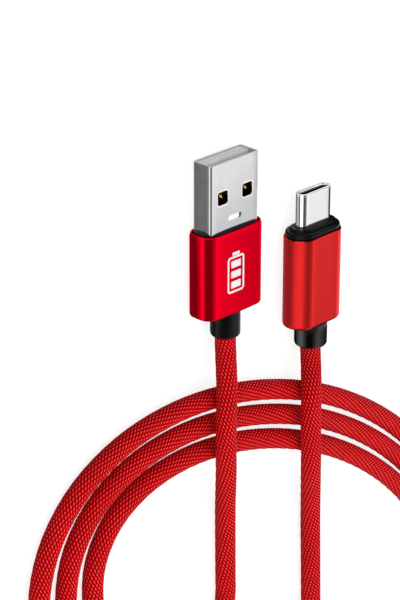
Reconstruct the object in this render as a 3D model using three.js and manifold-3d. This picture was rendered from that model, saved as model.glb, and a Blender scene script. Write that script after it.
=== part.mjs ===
// A charging cable: a USB-A plug and a USB-C plug on one braided cord, with the cord
// laid in an oval coil beside them.
//
// Frame: millimetres, +Z up. Both plugs lie flat on z = 0 with their mating ends toward +Y,
// and the origin is at the bottom centre of the box round the two plugs.
// Each plug is drawn in its own frame first: its origin is at the middle of the housing's
// rear face, +Y runs to the mating end, +X across its width and +Z out of its wide face.

import * as THREE from 'three';
import { mergeVertices } from 'three/addons/utils/BufferGeometryUtils.js';
import Module from 'manifold-3d';

const wasm = await Module();
wasm.setup();

// ---------------------------------------------------------------- driving dimensions

const AXIS_HEIGHT = 3.3; // half the thickness of both housings
const PLUG_A_PLACE = [-10.95, -7.2, AXIS_HEIGHT];
const PLUG_C_PLACE = [12.05, -17.0, AXIS_HEIGHT];

const USB_A = {
  shell: { width: 12.0, height: 4.5, corner: 0.5, wall: 0.3, rear: 7.0, tip: 29.1 },
  window: { width: 2.5, length: 2.5, across: 3.07, fromTip: 6.5 },
  slot: { width: 3.3, length: 1.0, fromTip: 10.8 },
  tongue: { width: 11.0, bottom: -1.85, top: 0.05 },
  housing: { width: 14.8, height: 6.6, corner: 2.3, length: 16.0, wall: 0.4, edge: 0.35 },
  bezel: { width: 13.7, height: 5.5, corner: 1.9, rear: 13.0, front: 16.4 },
  mould: { width: 13.0, height: 5.2, corner: 1.8, rear: 2.8, front: 5.6 },
  relief: { radius: 2.75, length: 5.3 },
};

const USB_C = {
  shell: { width: 8.25, height: 2.4, corner: 1.199, wall: 0.3, rear: 8.5, tip: 26.3 },
  housing: { width: 12.6, height: 6.6, corner: 3.299, length: 18.0, wall: 0.45, edge: 0.35 },
  bezelRoot: { width: 11.3, height: 5.3, corner: 2.649, rear: 15.0 },
  bezelLip: { width: 12.0, height: 6.0, corner: 2.999, rear: 18.3, front: 19.1 },
  bezelStep: { width: 10.4, height: 4.4, corner: 2.199, front: 19.7 },
  mould: { width: 10.8, height: 4.8, corner: 2.399, rear: 2.8, front: 5.6 },
  relief: { radius: 3.1, length: 4.9 },
};

const MARK_ACROSS = -0.75; // of the printed mark's middle from the plug's axis
const REAR_WALL = 1.0; // housing wall that the strain relief passes through
const NECK_RADIUS = 2.2; // strain relief where it passes through that wall
const FIT_GAP = 0.15; // between a shell and the bezel round it
const PART_GAP = 0.3; // between pieces that touch on the real object

const CORD_DIAMETER = 3.9;
const CORD_SIDES = 8;
const CROSSING_GAP = 0.25; // between the coil and the leads that pass over it
const CORD_REST_HEIGHT = 2.0; // cord's centreline where it lies on the floor
const COIL = {
  centre: [5.03, -73.19],
  semiAxes: [54.5, 29], // of the innermost turn's centreline
  tilt: THREE.MathUtils.degToRad(-31.8), // of the long axis, from +X
  pitch: 5.5, // growth of each semi-axis per turn
  drift: [-1.1, -0.25], // of the centre per turn
  firstTurn: -0.1, // turns from the long axis' left end, clockwise from above
  lastTurn: 2.54,
};

// The cord's route from the USB-A strain relief over the coil to the inside of the coil.
const LEAD_A_ROUTE = [
  [-10.95, -12.8, 3.3], [-11.0, -14.6, 3.43], [-11.3, -16.9, 3.85], [-11.95, -19.6, 4.65],
  [-12.65, -22.1, 5.45], [-13.25, -24.6, 5.98], [-13.55, -27.5, 6.2], [-13.6, -31.0, 6.2],
  [-13.4, -34.6, 6.0], [-12.7, -38.6, 5.4], [-11.6, -43.0, 4.25], [-10.3, -48.0, 2.9],
  [-9.5, -53.0, 2.15], [-9.3, -58.0, 2.0], [-9.25, -63.0, 2.0], [-9.3, -68.5, 2.0],
  [-11.1, -75.5, 2.0], [-16.0, -80.8, 2.0], [-22.7, -82.5, 2.0], [-29.0, -80.7, 2.0],
  [-33.3, -75.9, 2.0], [-36.4, -70.4, 2.0],
];

// From the USB-C strain relief over the coil, along inside it, and over its lower side
// to the outermost turn.
const LEAD_C_ROUTE = [
  [12.05, -22.2, 3.3], [11.98, -23.8, 3.45], [11.4, -26.0, 4.15], [10.3, -28.4, 5.27],
  [9.55, -30.8, 6.08], [9.3, -33.2, 6.28], [9.3, -36.4, 6.28], [9.5, -39.6, 6.2],
  [9.9, -43.0, 5.95], [10.7, -47.0, 5.25], [12.15, -51.5, 4.0], [13.65, -56.5, 2.7],
  [14.4, -61.5, 2.1], [14.7, -67.0, 2.0], [14.95, -75.0, 2.0], [15.2, -84.0, 2.0],
  [15.35, -90.5, 2.02], [15.4, -97.0, 2.6], [15.35, -103.2, 4.2], [15.4, -108.8, 5.6],
  [15.8, -114.2, 6.2], [17.3, -120.0, 6.0], [20.4, -125.2, 4.85], [25.2, -128.7, 3.35],
  [31.0, -130.3, 2.3], [37.2, -129.4, 2.0], [42.8, -126.0, 2.0],
];

// ---------------------------------------------------------------- materials

const finish = (color, roughness, metalness) => () =>
  new THREE.MeshStandardMaterial({ color, roughness, metalness });

const satinNickel = finish('#c9cacc', 0.3, 1.0);
const polishedSteel = finish('#e4e5e7', 0.1, 1.0);
const redAnodised = finish('#c8102a', 0.35, 0.8);
const redLacquered = finish('#d42a2a', 0.25, 0.6);
const blackPlastic = finish('#17181a', 0.5, 0.0);
const greyPlastic = finish('#c6c7c8', 0.5, 0.0);
const gold = finish('#d8a93a', 0.25, 1.0);
const brass = finish('#b8914a', 0.35, 1.0);
const whiteInk = finish('#f2efee', 0.6, 0.0);
const greenBoard = finish('#1f6b3a', 0.5, 0.0);
const redBraid = finish('#c5152a', 0.75, 0.0);
const wireColours = { red: '#b3131b', black: '#141414', white: '#e6e6e4', green: '#1d7a3c' };

// ---------------------------------------------------------------- geometry helpers

function roundedRect(width, height, corner) {
  const x = width / 2 - corner;
  const y = height / 2 - corner;
  const quarter = Math.PI / 2;
  const shape = new THREE.Shape();
  shape.moveTo(width / 2, -y);
  shape.absarc(x, y, corner, 0, quarter);
  shape.absarc(-x, y, corner, quarter, 2 * quarter);
  shape.absarc(-x, -y, corner, 2 * quarter, 3 * quarter);
  shape.absarc(x, -y, corner, 3 * quarter, 4 * quarter);
  return shape;
}

// A prism of a shape drawn in the plug's X-Z plane, from rear to front along Y.
function prism(shape, rear, front, segments = 4) {
  const geometry = new THREE.ExtrudeGeometry(shape, {
    depth: front - rear,
    bevelEnabled: false,
    curveSegments: segments,
  });
  geometry.rotateX(Math.PI / 2);
  geometry.translate(0, front, 0);
  return geometry;
}

function box(x, y, z) {
  const geometry = new THREE.BoxGeometry(x[1] - x[0], y[1] - y[0], z[1] - z[0]);
  geometry.translate((x[0] + x[1]) / 2, (y[0] + y[1]) / 2, (z[0] + z[1]) / 2);
  return geometry;
}

function solid(geometry) {
  const bare = geometry.clone();
  bare.deleteAttribute('normal');
  bare.deleteAttribute('uv');
  const merged = mergeVertices(bare, 1e-5);
  return new wasm.Manifold(new wasm.Mesh({
    numProp: 3,
    vertProperties: new Float32Array(merged.attributes.position.array),
    triVerts: new Uint32Array(merged.index.array),
  }));
}

function geometryOf(manifold) {
  const mesh = manifold.getMesh();
  const geometry = new THREE.BufferGeometry();
  geometry.setAttribute('position', new THREE.BufferAttribute(mesh.vertProperties, 3));
  geometry.setIndex(new THREE.BufferAttribute(mesh.triVerts, 1));
  const flat = geometry.toNonIndexed();
  flat.computeVertexNormals();
  return flat;
}

function cut(body, ...tools) {
  let result = solid(body);
  for (const tool of tools) {
    result = result.subtract(solid(tool));
  }
  return geometryOf(result);
}

function join(body, ...others) {
  let result = solid(body);
  for (const other of others) {
    result = result.add(solid(other));
  }
  return geometryOf(result);
}

// A turned piece round the plug's axis, from [radius, y] points that go round its section.
function turned(profile, segments = 24) {
  const points = profile.map(([radius, y]) => new THREE.Vector2(radius, y));
  points.push(points[0].clone());
  return new THREE.LatheGeometry(points, segments);
}

function tube(route, radius, sides, steps) {
  const section = new THREE.Shape();
  section.absarc(0, 0, radius, 0, 2 * Math.PI);
  return new THREE.ExtrudeGeometry(section, {
    curveSegments: sides / 2,
    steps,
    bevelEnabled: false,
    extrudePath: new THREE.CatmullRomCurve3(route.map((p) => new THREE.Vector3(...p))),
  });
}

function piece(name, geometry, material) {
  const mesh = new THREE.Mesh(geometry, material());
  mesh.name = name;
  return mesh;
}

// ---------------------------------------------------------------- pieces that both plugs have

// The metal sleeve that shows, closed behind and open in front, with a hole for the neck.
function housing(name, size, material) {
  const { width, height, corner, length, wall, edge } = size;
  const outline = roundedRect(width - 2 * edge, height - 2 * edge, corner - edge);
  const body = new THREE.ExtrudeGeometry(outline, {
    depth: length - 2 * edge,
    bevelThickness: edge,
    bevelSize: edge,
    bevelSegments: 2,
    curveSegments: 6,
  });
  body.rotateX(Math.PI / 2);
  body.translate(0, length - edge, 0);
  const bore = roundedRect(width - 2 * wall, height - 2 * wall, corner - wall);
  const inside = prism(bore, REAR_WALL, length + 1, 6);
  const neckHole = new THREE.CylinderGeometry(NECK_RADIUS + 0.25, NECK_RADIUS + 0.25, 4, 24);
  return piece(name, cut(body, inside, neckHole), material);
}

function strainRelief(name, { radius, length }) {
  const bore = 1.6;
  const rim = 0.5;
  const flange = NECK_RADIUS + 0.55;
  const profile = [
    [bore, -length],
    [radius - rim, -length],
    [radius, -length + rim],
    [radius, -PART_GAP],
    [NECK_RADIUS, -PART_GAP],
    [NECK_RADIUS, REAR_WALL + PART_GAP],
    [flange, REAR_WALL + PART_GAP],
    [flange, REAR_WALL + PART_GAP + 1.1],
    [bore, REAR_WALL + PART_GAP + 1.1],
  ];
  return piece(name, turned(profile), blackPlastic);
}

// The moulded block that grips the flange of the strain relief inside the housing.
function innerMould(name, { width, height, corner, rear, front }) {
  const block = prism(roundedRect(width, height, corner), rear, front);
  const bore = new THREE.CylinderGeometry(2.1, 2.1, 20, 16);
  return piece(name, cut(block, bore), blackPlastic);
}

function crimpRing(name) {
  const profile = [[1.45, 3.0], [1.85, 3.0], [1.85, 5.2], [1.45, 5.2]];
  return piece(name, turned(profile, 16), brass);
}

// Four insulated wires from inside the strain relief to a row of solder points.
function wires(prefix, rowY, rowZ, spacing) {
  return Object.entries(wireColours).map(([name, colour], index) => {
    const x = 0.6 * (index % 2 === 0 ? -1 : 1);
    const z = 0.6 * (index < 2 ? -1 : 1);
    const across = spacing * (index % 2 === 0 ? -1 : 1) * (index < 2 ? 1.5 : 0.5);
    const route = [
      [x, -2.0, z], [x, 2.0, z], [x, 5.4, z],
      [(x + across) / 2, (5.4 + rowY) / 2, (z + rowZ) / 2],
      [across, rowY - 0.4, rowZ], [across, rowY, rowZ],
    ];
    return piece(`${prefix}_wire_${name}`, tube(route, 0.42, 6, 12), finish(colour, 0.45, 0.0));
  });
}

// ---------------------------------------------------------------- USB-A plug

function usbA() {
  const { shell, window, slot, tongue, bezel } = USB_A;
  const plug = new THREE.Group();
  plug.position.set(...PLUG_A_PLACE);

  const sleeve = roundedRect(shell.width, shell.height, shell.corner);
  sleeve.holes.push(roundedRect(
    shell.width - 2 * shell.wall,
    shell.height - 2 * shell.wall,
    shell.corner - shell.wall,
  ));
  const openings = [-1, 1].map((side) => box(
    [side * window.across - window.width / 2, side * window.across + window.width / 2],
    [shell.tip - window.fromTip - window.length / 2, shell.tip - window.fromTip + window.length / 2],
    [-shell.height, shell.height],
  ));
  openings.push(box(
    [-slot.width / 2, slot.width / 2],
    [shell.tip - slot.fromTip - slot.length / 2, shell.tip - slot.fromTip + slot.length / 2],
    [0, shell.height],
  ));
  plug.add(piece('usb_a_shell', cut(prism(sleeve, shell.rear, shell.tip), ...openings), satinNickel));

  // The tongue fills the lower half of the shell. Its nose is lighter plastic.
  const half = tongue.width / 2;
  const tongueHeight = [tongue.bottom, tongue.top];
  plug.add(piece('usb_a_tongue_nose', box([-half, half], [25.0, 28.6], tongueHeight), greyPlastic));
  plug.add(piece('usb_a_contact_block', join(
    box([-half, half], [9.5, 16.8], [tongue.bottom, 1.8]),
    box([-half, half], [16.0, 24.8], tongueHeight),
  ), blackPlastic));
  const contactPlaces = { vbus: -3.5, data_minus: -1.0, data_plus: 1.0, ground: 3.5 };
  for (const [name, x] of Object.entries(contactPlaces)) {
    const front = Math.abs(x) > 2 ? 27.8 : 26.8;
    plug.add(piece(
      `usb_a_contact_${name}`,
      box([x - 0.5, x + 0.5], [17.1, front], [tongue.top + 0.1, tongue.top + 0.35]),
      gold,
    ));
  }

  plug.add(housing('usb_a_housing', USB_A.housing, redAnodised));
  const collar = roundedRect(bezel.width, bezel.height, bezel.corner);
  collar.holes.push(roundedRect(
    shell.width + 2 * FIT_GAP,
    shell.height + 2 * FIT_GAP,
    shell.corner + FIT_GAP,
  ));
  plug.add(piece('usb_a_bezel', prism(collar, bezel.rear, bezel.front), blackPlastic));
  plug.add(innerMould('usb_a_inner_mould', USB_A.mould));
  plug.add(strainRelief('usb_a_strain_relief', USB_A.relief));
  plug.add(crimpRing('usb_a_crimp_ring'));
  plug.add(...wires('usb_a', 9.2, 0.0, 2.3));
  plug.add(...batteryMark(USB_A.housing.height / 2 + 0.05));
  return plug;
}

// A plain battery sign printed on the housing: an outline with a nub, and three bars.
function batteryMark(height) {
  const width = 4.2;
  const line = 0.5;
  const rear = 4.4;
  const front = 11.4;
  const ink = 0.08;
  const barLength = 1.35;
  const outline = cut(
    join(
      box([-width / 2, width / 2], [rear, front], [height, height + ink]),
      box([-0.9, 0.9], [front - line, front + 0.8], [height, height + ink]),
    ),
    box([line - width / 2, width / 2 - line], [rear + line, front - line], [height - 1, height + 1]),
  );
  const bars = [0, 1, 2].map((index) => {
    const start = rear + line + 0.45 + index * (barLength + 0.5);
    const shape = box(
      [line + 0.45 - width / 2, width / 2 - line - 0.45],
      [start, start + barLength],
      [height, height + ink],
    );
    return piece(`usb_a_mark_bar_${index + 1}`, shape, whiteInk);
  });
  const mark = [piece('usb_a_mark_outline', outline, whiteInk), ...bars];
  for (const mesh of mark) mesh.position.x = MARK_ACROSS;
  return mark;
}

// ---------------------------------------------------------------- USB-C plug

function usbC() {
  const { shell, bezelRoot, bezelLip, bezelStep } = USB_C;
  const plug = new THREE.Group();
  plug.position.set(...PLUG_C_PLACE);

  const insideCorner = shell.corner - shell.wall;
  const sleeve = roundedRect(shell.width, shell.height, shell.corner);
  sleeve.holes.push(roundedRect(
    shell.width - 2 * shell.wall,
    shell.height - 2 * shell.wall,
    insideCorner,
  ));
  plug.add(piece('usb_c_shell', prism(sleeve, shell.rear, shell.tip, 6), polishedSteel));

  // The insulator has one slot in front, with a row of contacts above and below it.
  const insulator = prism(roundedRect(7.4, 1.56, 0.779), 20.0, 25.9, 6);
  const mouth = prism(roundedRect(6.6, 0.9, 0.449), 20.8, 27.0, 4);
  plug.add(piece('usb_c_insulator', cut(insulator, mouth), blackPlastic));
  for (const [name, side] of [['upper', 1], ['lower', -1]]) {
    const layer = [side * 0.3 - 0.06, side * 0.3 + 0.06];
    const fingers = [-2.5, -1.5, -0.5, 0.5, 1.5, 2.5].map((x) =>
      box([x - 0.15, x + 0.15], [21.4, 24.8], layer));
    const row = join(box([-2.9, 2.9], [21.1, 21.7], layer), ...fingers);
    plug.add(piece(`usb_c_contacts_${name}`, row, gold));
  }
  plug.add(piece('usb_c_latch_plate', box([-3.6, 3.6], [16.6, 19.7], [-0.15, 0.15]), polishedSteel));
  plug.add(piece('usb_c_paddle_card', box([-3.5, 3.5], [9.2, 16.3], [-0.3, 0.3]), greenBoard));
  plug.add(piece('usb_c_resistor', box([-0.5, 0.5], [11.5, 12.0], [0.4, 0.65]), blackPlastic));

  plug.add(housing('usb_c_housing', USB_C.housing, redLacquered));
  const collar = join(
    prism(
      roundedRect(bezelRoot.width, bezelRoot.height, bezelRoot.corner),
      bezelRoot.rear,
      bezelLip.rear + 0.2,
      6,
    ),
    prism(
      roundedRect(bezelLip.width, bezelLip.height, bezelLip.corner),
      bezelLip.rear,
      bezelLip.front,
      6,
    ),
    prism(
      roundedRect(bezelStep.width, bezelStep.height, bezelStep.corner),
      bezelLip.rear,
      bezelStep.front,
      6,
    ),
  );
  const passage = roundedRect(
    shell.width + 2 * FIT_GAP,
    shell.height + 2 * FIT_GAP,
    shell.corner + FIT_GAP,
  );
  plug.add(piece('usb_c_bezel', cut(collar, prism(passage, 0, 30, 6)), blackPlastic));
  plug.add(innerMould('usb_c_inner_mould', USB_C.mould));
  plug.add(strainRelief('usb_c_strain_relief', USB_C.relief));
  plug.add(crimpRing('usb_c_crimp_ring'));
  plug.add(...wires('usb_c', 8.9, 0.0, 1.8));
  return plug;
}

// ---------------------------------------------------------------- cord

// A point of the coil's centreline, or beside it by outward millimetres.
function coilPoint(turns, outward = 0) {
  const angle = Math.PI - 2 * Math.PI * turns;
  const long = COIL.semiAxes[0] + COIL.pitch * turns;
  const short = COIL.semiAxes[1] + COIL.pitch * turns;
  const point = new THREE.Vector2(long * Math.cos(angle), short * Math.sin(angle));
  const normal = new THREE.Vector2(short * Math.cos(angle), long * Math.sin(angle));
  point.addScaledVector(normal.normalize(), outward);
  point.rotateAround(new THREE.Vector2(), COIL.tilt);
  point.x += COIL.centre[0] + COIL.drift[0] * turns;
  point.y += COIL.centre[1] + COIL.drift[1] * turns;
  return point;
}

function wholeTurn(from, outward, steps) {
  return Array.from({ length: steps + 1 }, (_, i) => coilPoint(from + i / steps, outward));
}

// The outer shape of the coiled turns: a flat oval ring one cord thick, with its edges cut
// back as the round cord's are. Its outer edge is the last turn and its inner edge the
// first, so each has a step where that turn ends.
function coil() {
  const radius = CORD_DIAMETER / 2;
  const edge = 1.1;
  const outer = wholeTurn(COIL.lastTurn - 1, radius - edge, 60);
  const inner = wholeTurn(COIL.firstTurn, edge - radius, 60);
  const ring = new THREE.Shape(outer.reverse());
  ring.holes.push(new THREE.Path(inner));
  const geometry = new THREE.ExtrudeGeometry(ring, {
    depth: CORD_DIAMETER - CROSSING_GAP - 2 * edge,
    bevelThickness: edge,
    bevelSize: edge,
    bevelSegments: 1,
  });
  geometry.translate(0, 0, CORD_REST_HEIGHT - radius + edge);
  return piece('cable_coil', geometry, redBraid);
}

function lead(name, route, steps) {
  return piece(name, tube(route, CORD_DIAMETER / 2, CORD_SIDES, steps), redBraid);
}

// ---------------------------------------------------------------- assembly

const cable = new THREE.Group();
cable.add(usbA());
cable.add(usbC());
cable.add(lead('cable_lead_a', LEAD_A_ROUTE, 32));
cable.add(lead('cable_lead_c', LEAD_C_ROUTE, 38));
cable.add(coil());

export default cable;
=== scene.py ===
"""The looks of a charging cable: two metal plugs on one braided cord, on a pale studio floor.

Lengths are millimetres, and MM turns them into Blender's metres. Only the sizes in material
nodes and the floor's width are metres. A plug's own frame has its origin at the middle of its
housing's rear face, +Y to the mating end and +Z out of its wide face, as the CAD model has it.
"""

import math

import bmesh
import bpy
import numpy as np
from mathutils import Matrix, Vector


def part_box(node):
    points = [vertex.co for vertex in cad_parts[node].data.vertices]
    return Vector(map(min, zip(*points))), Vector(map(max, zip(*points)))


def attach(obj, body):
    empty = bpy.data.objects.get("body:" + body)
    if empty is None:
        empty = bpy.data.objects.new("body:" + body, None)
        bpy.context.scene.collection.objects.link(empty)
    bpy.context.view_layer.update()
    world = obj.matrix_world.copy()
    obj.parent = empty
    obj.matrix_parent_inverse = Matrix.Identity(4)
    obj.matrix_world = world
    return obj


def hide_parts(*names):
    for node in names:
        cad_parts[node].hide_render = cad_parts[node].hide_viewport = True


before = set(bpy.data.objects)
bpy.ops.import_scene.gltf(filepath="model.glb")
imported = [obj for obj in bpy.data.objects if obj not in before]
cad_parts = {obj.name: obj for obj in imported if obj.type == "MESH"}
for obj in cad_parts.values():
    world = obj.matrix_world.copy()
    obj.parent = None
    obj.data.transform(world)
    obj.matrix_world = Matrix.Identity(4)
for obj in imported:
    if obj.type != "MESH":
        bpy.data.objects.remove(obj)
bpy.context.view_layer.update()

MM = 0.001
BODY = "root"

# ------------------------------------------------------------------ the cord's route

CORD_DIAMETER = 3.9
CORD_REST_HEIGHT = 2.0  # of its centreline where it lies on the floor
COIL_CENTRE = (5.03, -73.19)
COIL_SEMI_AXES = (54.5, 29.0)
COIL_TILT = math.radians(-31.8)
COIL_PITCH = 5.5  # how far both semi-axes grow in one turn
COIL_DRIFT = (-1.1, -0.25)  # of the coil's centre in one turn
COIL_FIRST_TURN = -0.1
COIL_LAST_TURN = 2.54
COIL_POINTS_PER_TURN = 24

LEAD_A_ROUTE = [
    (-10.95, -12.8, 3.3), (-11.0, -14.6, 3.43), (-11.3, -16.9, 3.85), (-11.95, -19.6, 4.65),
    (-12.65, -22.1, 5.45), (-13.25, -24.6, 5.98), (-13.55, -27.5, 6.2), (-13.6, -31.0, 6.2),
    (-13.4, -34.6, 6.0), (-12.7, -38.6, 5.4), (-11.6, -43.0, 4.25), (-10.3, -48.0, 2.9),
    (-9.5, -53.0, 2.15), (-9.3, -58.0, 2.0), (-9.25, -63.0, 2.0), (-9.3, -68.5, 2.0),
    (-11.1, -75.5, 2.0), (-16.0, -80.8, 2.0), (-22.7, -82.5, 2.0), (-29.0, -80.7, 2.0),
    (-33.3, -75.9, 2.0), (-36.4, -70.4, 2.0),
]

LEAD_C_ROUTE = [
    (12.05, -22.2, 3.3), (11.98, -23.8, 3.45), (11.4, -26.0, 4.15), (10.3, -28.4, 5.27),
    (9.55, -30.8, 6.08), (9.3, -33.2, 6.28), (9.3, -36.4, 6.28), (9.5, -39.6, 6.2),
    (9.9, -43.0, 5.95), (10.7, -47.0, 5.25), (12.15, -51.5, 4.0), (13.65, -56.5, 2.7),
    (14.4, -61.5, 2.1), (14.7, -67.0, 2.0), (14.95, -75.0, 2.0), (15.2, -84.0, 2.0),
    (15.35, -90.5, 2.02), (15.4, -97.0, 2.6), (15.35, -103.2, 4.2), (15.4, -108.8, 5.6),
    (15.8, -114.2, 6.2), (17.3, -120.0, 6.0), (20.4, -125.2, 4.85), (25.2, -128.7, 3.35),
    (31.0, -130.3, 2.3), (37.2, -129.4, 2.0), (42.8, -126.0, 2.0),
]

AXIS_HEIGHT = 3.3  # of both plugs over the floor
CORD_TUCK = 1.0  # how far each end of the cord goes on inside its strain relief

# ------------------------------------------------------------------ the woven braid

STRANDS = 17  # floats side by side round the cord
ROW_SPACING = 0.66  # between rows of floats along the cord
LAY_TWIST = -0.49  # how far each row is turned past the one before, in half strands
FLOAT_HEIGHT = 0.05  # of the floats over the mean surface of the braid

# ------------------------------------------------------------------ camera

VIEW_ROLL = math.radians(45.4)  # turn of the plugs about their own axis, as seen
VIEW_PITCH = math.radians(24.0)  # of their mating ends toward the camera
VIEW_DISTANCE = 450.0
VIEW_CENTRE = (-17.44, -3.63, 3.33)
VIEW_LENS = 152.55
SENSOR_WIDTH = 36.0


def link_object(name, data):
    """A new object in the scene."""
    thing = bpy.data.objects.new(name, data)
    bpy.context.scene.collection.objects.link(thing)
    return thing


def make_camera():
    """A long lens that sees the plugs turned by VIEW_ROLL, and their mating ends."""
    across, along = math.cos(VIEW_PITCH), math.sin(VIEW_PITCH)
    back = Vector((-math.sin(VIEW_ROLL) * across, along, math.cos(VIEW_ROLL) * across))
    axis = Vector((0, 1, 0))
    up = (axis - axis.dot(back) * back).normalized()
    right = up.cross(back)
    data = bpy.data.cameras.new("camera")
    data.lens = VIEW_LENS
    data.sensor_width = SENSOR_WIDTH
    data.clip_start = 0.01
    data.clip_end = 100.0
    camera = link_object("camera", data)
    turn = Matrix((right, up, back)).transposed().to_4x4()
    place = (Vector(VIEW_CENTRE) + back * VIEW_DISTANCE) * MM
    camera.matrix_world = Matrix.Translation(place) @ turn
    bpy.context.scene.camera = camera


# ------------------------------------------------------------------ node materials


class Nodes:
    """A node tree, with short ways to add and join nodes."""

    def __init__(self, tree):
        self.tree = tree

    def add(self, kind, inputs=None, **settings):
        """A new node. Each input is a value, or an output that is joined to it."""
        node = self.tree.nodes.new(kind)
        for key, value in settings.items():
            setattr(node, key, value)
        for key, value in (inputs or {}).items():
            self.put(node.inputs[key], value)
        return node

    def put(self, socket, value):
        """Gives a socket a value or joins an output to it. A colour may leave out its alpha."""
        if isinstance(value, bpy.types.NodeSocket):
            self.tree.links.new(value, socket)
        elif isinstance(value, tuple) and len(value) == 3 and socket.type == "RGBA":
            socket.default_value = (*value, 1.0)
        else:
            socket.default_value = value

    def math(self, operation, a, b=0.0, clamp=False):
        node = self.add("ShaderNodeMath", {0: a, 1: b}, operation=operation, use_clamp=clamp)
        return node.outputs[0]

    def share(self, value, low, high):
        """How far value has come from low to high, from 0 to 1."""
        inputs = {"Value": value, "From Min": low, "From Max": high}
        return self.add("ShaderNodeMapRange", inputs).outputs["Result"]

    def ramp(self, factor, stops):
        """A colour for each factor, from stops of (place, colour)."""
        node = self.add("ShaderNodeValToRGB", {"Fac": factor})
        band = node.color_ramp
        while len(band.elements) < len(stops):
            band.elements.new(0.5)
        for element, (place, colour) in zip(band.elements, stops):
            element.position = place
            element.color = (*colour, 1.0)
        return node.outputs["Color"]


class Surface(Nodes):
    """A new material. Sizes in its nodes are metres."""

    def __init__(self, name):
        self.material = bpy.data.materials.new(name)
        self.material.use_nodes = True
        super().__init__(self.material.node_tree)
        self.shader = self.tree.nodes["Principled BSDF"]

    def set(self, **values):
        """Sets the shader's inputs, with _ for each space in their names."""
        for key, value in values.items():
            self.put(self.shader.inputs[key.replace("_", " ")], value)

    def position(self, scale=(1.0, 1.0, 1.0)):
        """The point on the object in its own space, stretched by scale."""
        point = self.add("ShaderNodeTexCoord").outputs["Object"]
        return self.add("ShaderNodeVectorMath", {0: point, 1: scale}, operation="MULTIPLY").outputs[0]

    def noise(self, size, scale=(1.0, 1.0, 1.0), detail=3.0):
        """Noise with features of about size metres."""
        inputs = {
            "Vector": self.position(scale),
            "Scale": 1.0 / size,
            "Detail": detail,
            "Roughness": 0.55,
        }
        return self.add("ShaderNodeTexNoise", inputs).outputs["Fac"]

    def spread(self, factor, low, high):
        """Maps noise, which stays near its middle, to a range of values."""
        inputs = {"Value": factor, "From Min": 0.3, "From Max": 0.7, "To Min": low, "To Max": high}
        return self.add("ShaderNodeMapRange", inputs).outputs["Result"]

    def varied(self, colour, size, amount, detail=2.0):
        """A colour that gets lighter and darker by amount, in patches of about size metres."""
        inputs = {
            "Color": colour,
            "Value": self.spread(self.noise(size, detail=detail), 1.0 - amount, 1.0 + amount),
        }
        return self.add("ShaderNodeHueSaturation", inputs).outputs["Color"]

    def bump(self, height, distance):
        inputs = {"Height": height, "Distance": distance}
        return self.add("ShaderNodeBump", inputs).outputs["Normal"]


def braid_material():
    """Diamond weave of a nylon braid, from the mesh's weave coordinates, with painted shade and
    glints.

    The first coordinate counts the strands of one lay and the second those of the other. A
    float peaks where both are whole numbers, and a gap lies where both are halfway.
    """
    nodes = Surface("red_braid")
    weave = nodes.add("ShaderNodeUVMap", uv_map="weave").outputs["UV"]
    split = nodes.add("ShaderNodeSeparateXYZ", {"Vector": weave})

    def times(a, b):
        return nodes.math("MULTIPLY", a, b)

    def wave(coordinate, count):
        turns = times(coordinate, 2 * math.pi * count)
        return nodes.math("ADD", times(nodes.math("COSINE", turns), 0.5), 0.5, clamp=True)

    first, second = wave(split.outputs[0], 1), wave(split.outputs[1], 1)
    strand = nodes.math("ADD", times(first, 0.65), times(second, 0.35))
    over = times(nodes.math("POWER", first, 0.74), nodes.math("POWER", second, 0.56))
    height = nodes.math("ADD", times(strand, 0.5), times(over, 0.5))
    fuzz = nodes.spread(nodes.noise(0.00012, detail=2.0), -0.12, 0.12)
    # Painted shade and highlight: the ramp darkens the gaps between floats and turns the float tops
    # pale pink, as glints.
    colour = nodes.ramp(nodes.math("ADD", height, fuzz, clamp=True), [
        (0.0, (0.12, 0.0, 0.0)),
        (0.2, (0.32, 0.0002, 0.001)),
        (0.5, (0.74, 0.001, 0.003)),
        (0.78, (0.98, 0.015, 0.02)),
        (1.0, (1.0, 0.16, 0.17)),
    ])
    filaments = times(wave(split.outputs[0], 5), over)
    relief = nodes.math("ADD", height, times(filaments, 0.12))
    nodes.set(
        Base_Color=nodes.varied(colour, 0.006, 0.07, detail=3.0),
        Roughness=nodes.spread(height, 0.62, 0.42),
        Normal=nodes.bump(relief, 0.00009),
        Specular_IOR_Level=0.03,
    )
    return nodes.material


# Colour, roughness, size of the grain and how far it stands out.
METALS = {
    "satin_shell": ((0.66, 0.66, 0.67), 0.17, 4e-5, 3e-7),
    "polished_shell": ((0.98, 0.98, 0.98), 0.07, 4e-5, 2e-7),
    # Painted highlight: a near-white copy of the shell metal for the window rims, so they look lit
    # all round.
    "burnished_edge": ((0.97, 0.97, 0.97), 0.55, 4e-5, 4e-7),
    "red_satin_metal": ((0.78, 0.0005, 0.016), 0.22, 6e-5, 4e-7),
    "red_gloss_metal": ((0.77, 0.01, 0.008), 0.16, 4e-5, 3e-7),
    "contact_gold": ((0.85, 0.52, 0.12), 0.22, 4e-5, 1.5e-6),
    "crimp_brass": ((0.62, 0.42, 0.16), 0.35, 4e-5, 1.5e-6),
}
PLASTICS = {
    "black_plastic": ((0.004, 0.004, 0.0045), 0.24, 1.2e-4, 1e-6),
    "grey_plastic": ((0.98, 0.98, 0.98), 0.35, 1.2e-4, 4e-6),
    "black_rubber": ((0.003, 0.003, 0.0033), 0.24, 2e-4, 1.5e-6),
    "gloss_rubber": ((0.001, 0.001, 0.001), 0.2, 2e-4, 1e-6),
    "circuit_board": ((0.02, 0.16, 0.05), 0.35, 1.2e-4, 4e-6),
    "white_print": ((0.84, 0.81, 0.81), 0.6, 1.2e-4, 2e-6),
    "wire_red": ((0.45, 0.01, 0.02), 0.4, 1.2e-4, 4e-6),
    "wire_black": ((0.01, 0.01, 0.01), 0.4, 1.2e-4, 4e-6),
    "wire_white": ((0.75, 0.75, 0.73), 0.4, 1.2e-4, 4e-6),
    "wire_green": ((0.02, 0.2, 0.06), 0.4, 1.2e-4, 4e-6),
}
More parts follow.
